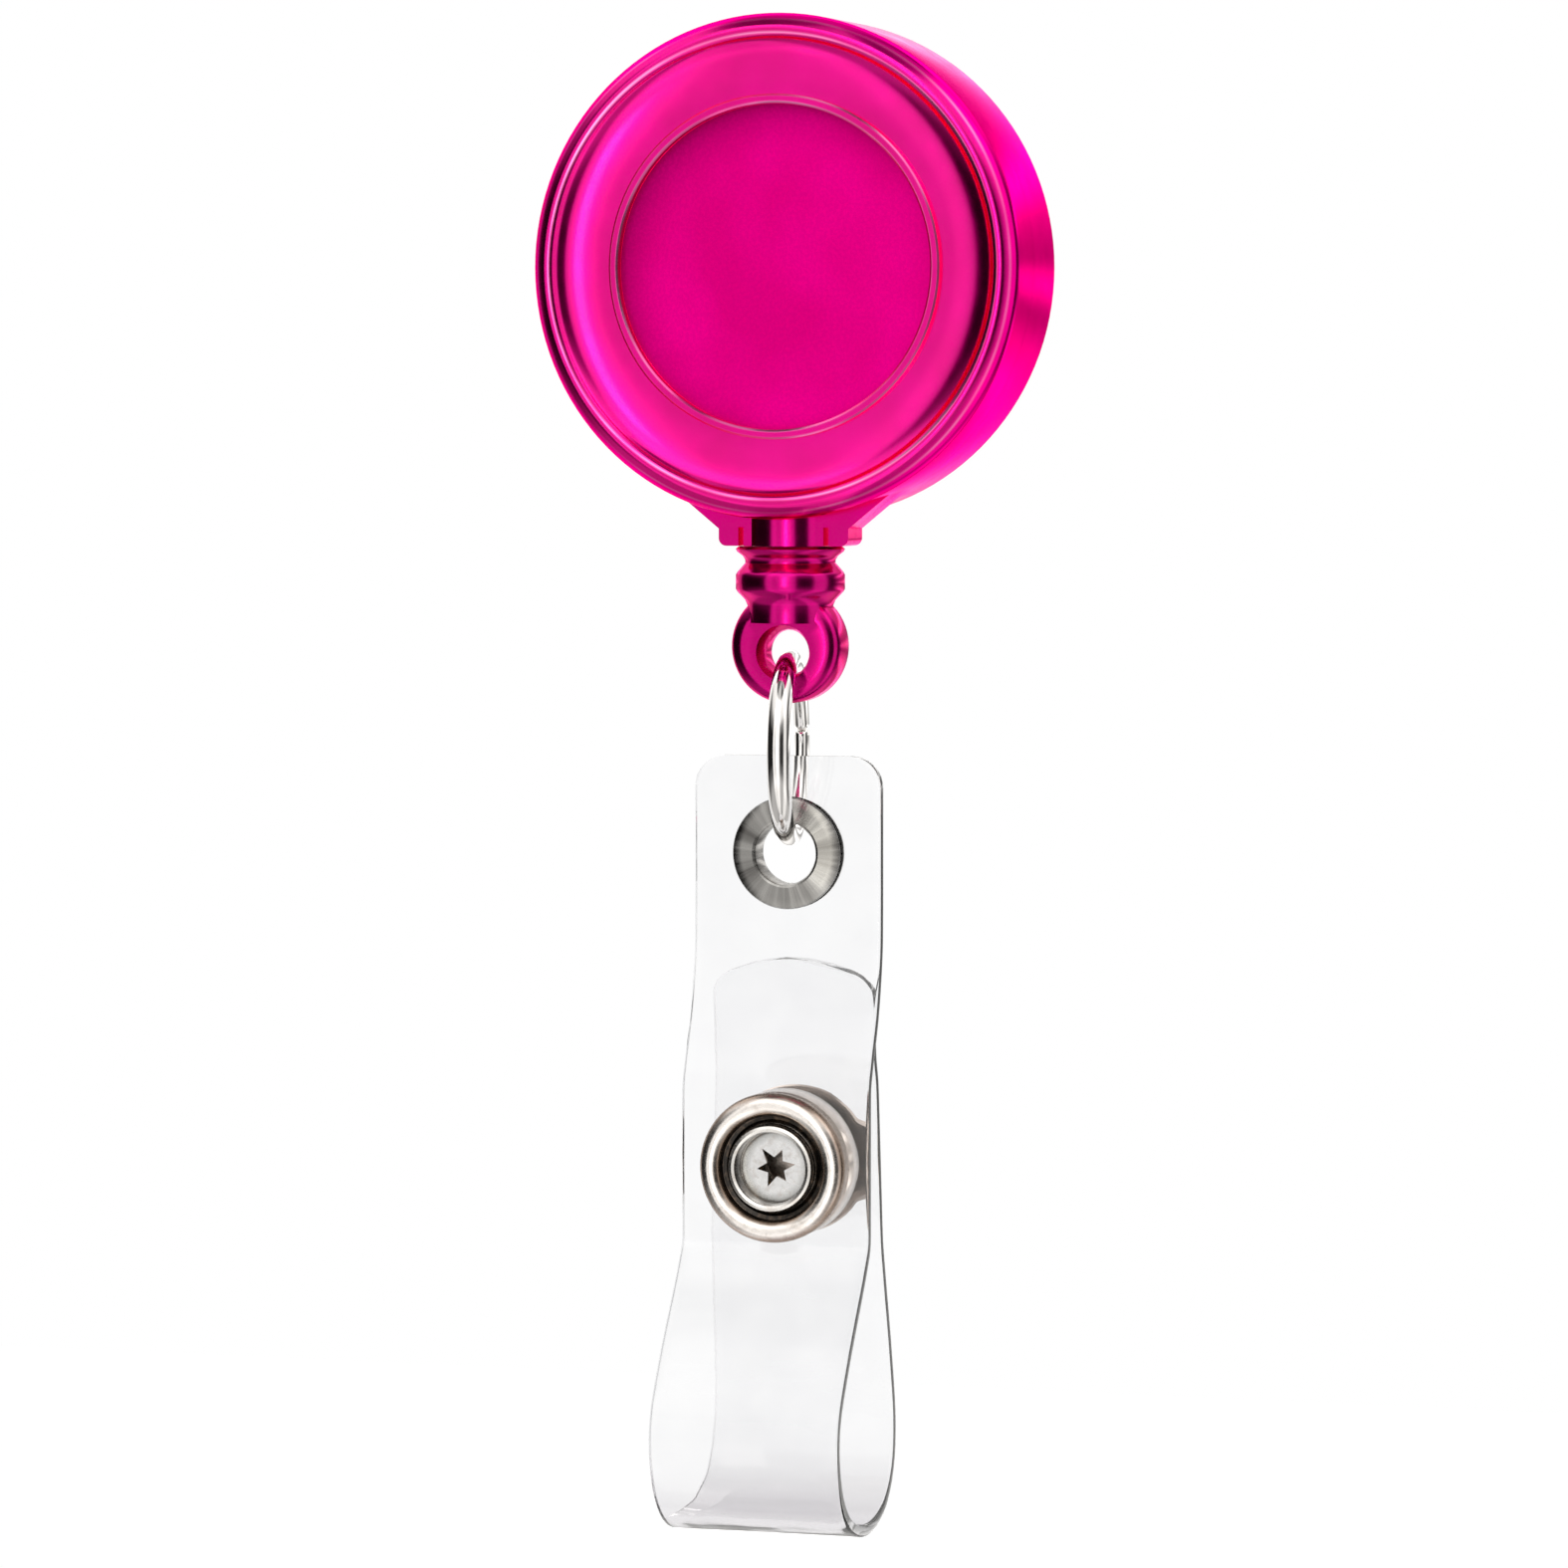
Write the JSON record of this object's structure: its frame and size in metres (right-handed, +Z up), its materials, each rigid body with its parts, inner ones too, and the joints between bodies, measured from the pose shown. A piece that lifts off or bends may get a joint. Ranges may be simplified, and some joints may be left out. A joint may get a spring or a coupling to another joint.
{
  "type": "retractable badge reel",
  "caption": "Round retractable badge reel with a swivel clip behind, and a snap-closed clear vinyl strap hanging from its cord by a split ring.",
  "frame": {"origin": "where the edge of the cloth sits between the clip's jaws, on the reel's own axis", "axes": "+Z up, against the way the cord pulls out; -Y out of the label face; +X to the right seen from the front"},
  "size_m": [0.032, 0.0266, 0.0966],
  "materials": {
    "case_plastic": "gloss",
    "spool_plastic": "satin",
    "spring_steel": "satin",
    "cord_nylon": "woven",
    "nickel": "polished",
    "clip_steel": "satin",
    "vinyl": "clear"
  },
  "bodies": {
    "clip": {"clip_base_jaw": "clip_steel", "clip_pin": "nickel", "clip_spring": "spring_steel", "swivel_rivet": "nickel", "swivel_washer": "spool_plastic"},
    "clip_lever": {"clip_lever_jaw": "clip_steel"},
    "case": {"front_case": "case_plastic", "back_case": "case_plastic", "power_spring": "spring_steel", "cord_lead": "cord_nylon"},
    "spool": {"spool": "spool_plastic", "cord_winding": "cord_nylon"},
    "cord_end": {"cord_tail": "cord_nylon", "cord_knot": "cord_nylon"},
    "fitting": {"end_fitting": "case_plastic"},
    "ring": {"jump_ring": "nickel"},
    "strap": {"strap_leg": "vinyl", "grommet_eyelet": "nickel", "grommet_washer": "nickel", "snap_front_ring": "nickel", "snap_socket": "clip_steel", "snap_socket_spring": "spring_steel"},
    "flap": {"strap_flap": "vinyl", "snap_stud": "nickel", "snap_rear_cap": "nickel"}
  },
  "joints": [
    {"name": "jaw_open", "type": "hinge", "parent": "clip", "child": "clip_lever", "pos_m": [0, 0.0009, 0.005], "axis": [1, 0, 0], "range_deg": [0, 25], "stiffness_Nm_per_rad": 0.03, "springref_deg": -34.38, "deforming": ["clip_spring"]},
    {"name": "case_swivel", "type": "hinge", "parent": "clip", "child": "case", "pos_m": [0, -0.007, 0], "axis": [0, 1, 0], "continuous": true},
    {"name": "spool_spin", "type": "hinge", "parent": "case", "child": "spool", "pos_m": [0, -0.01, 0], "axis": [0, 1, 0], "range_deg": [0, 4470], "deforming": ["power_spring"]},
    {"name": "cord_pull", "type": "slide", "parent": "case", "child": "cord_end", "axis": [0, 0, -1], "range_m": [0, 0.86], "stiffness_N_per_m": 0.6, "springref_m": -1, "deforming": ["cord_tail"]},
    {"name": "fitting_twist", "type": "hinge", "parent": "cord_end", "child": "fitting", "pos_m": [0, -0.01, -0.0205], "axis": [0, 0, 1], "continuous": true},
    {"name": "ring_swing", "type": "hinge", "parent": "fitting", "child": "ring", "pos_m": [0, -0.01, -0.0251], "axis": [-0.1495, 0.9888, 0], "range_deg": [-60, 60]},
    {"name": "strap_swing", "type": "hinge", "parent": "ring", "child": "strap", "pos_m": [0, -0.01, -0.03065], "axis": [0.9888, 0.1495, 0], "range_deg": [-60, 60]},
    {"name": "flap_open", "type": "hinge", "parent": "strap", "child": "flap", "pos_m": [0, -0.0134, -0.0802], "axis": [-1, 0, 0], "range_deg": [0, 90]}
  ],
  "couplings": [
    {"joint": "spool_spin", "follows": "cord_pull", "rad_per_m": 90.5}
  ]
}
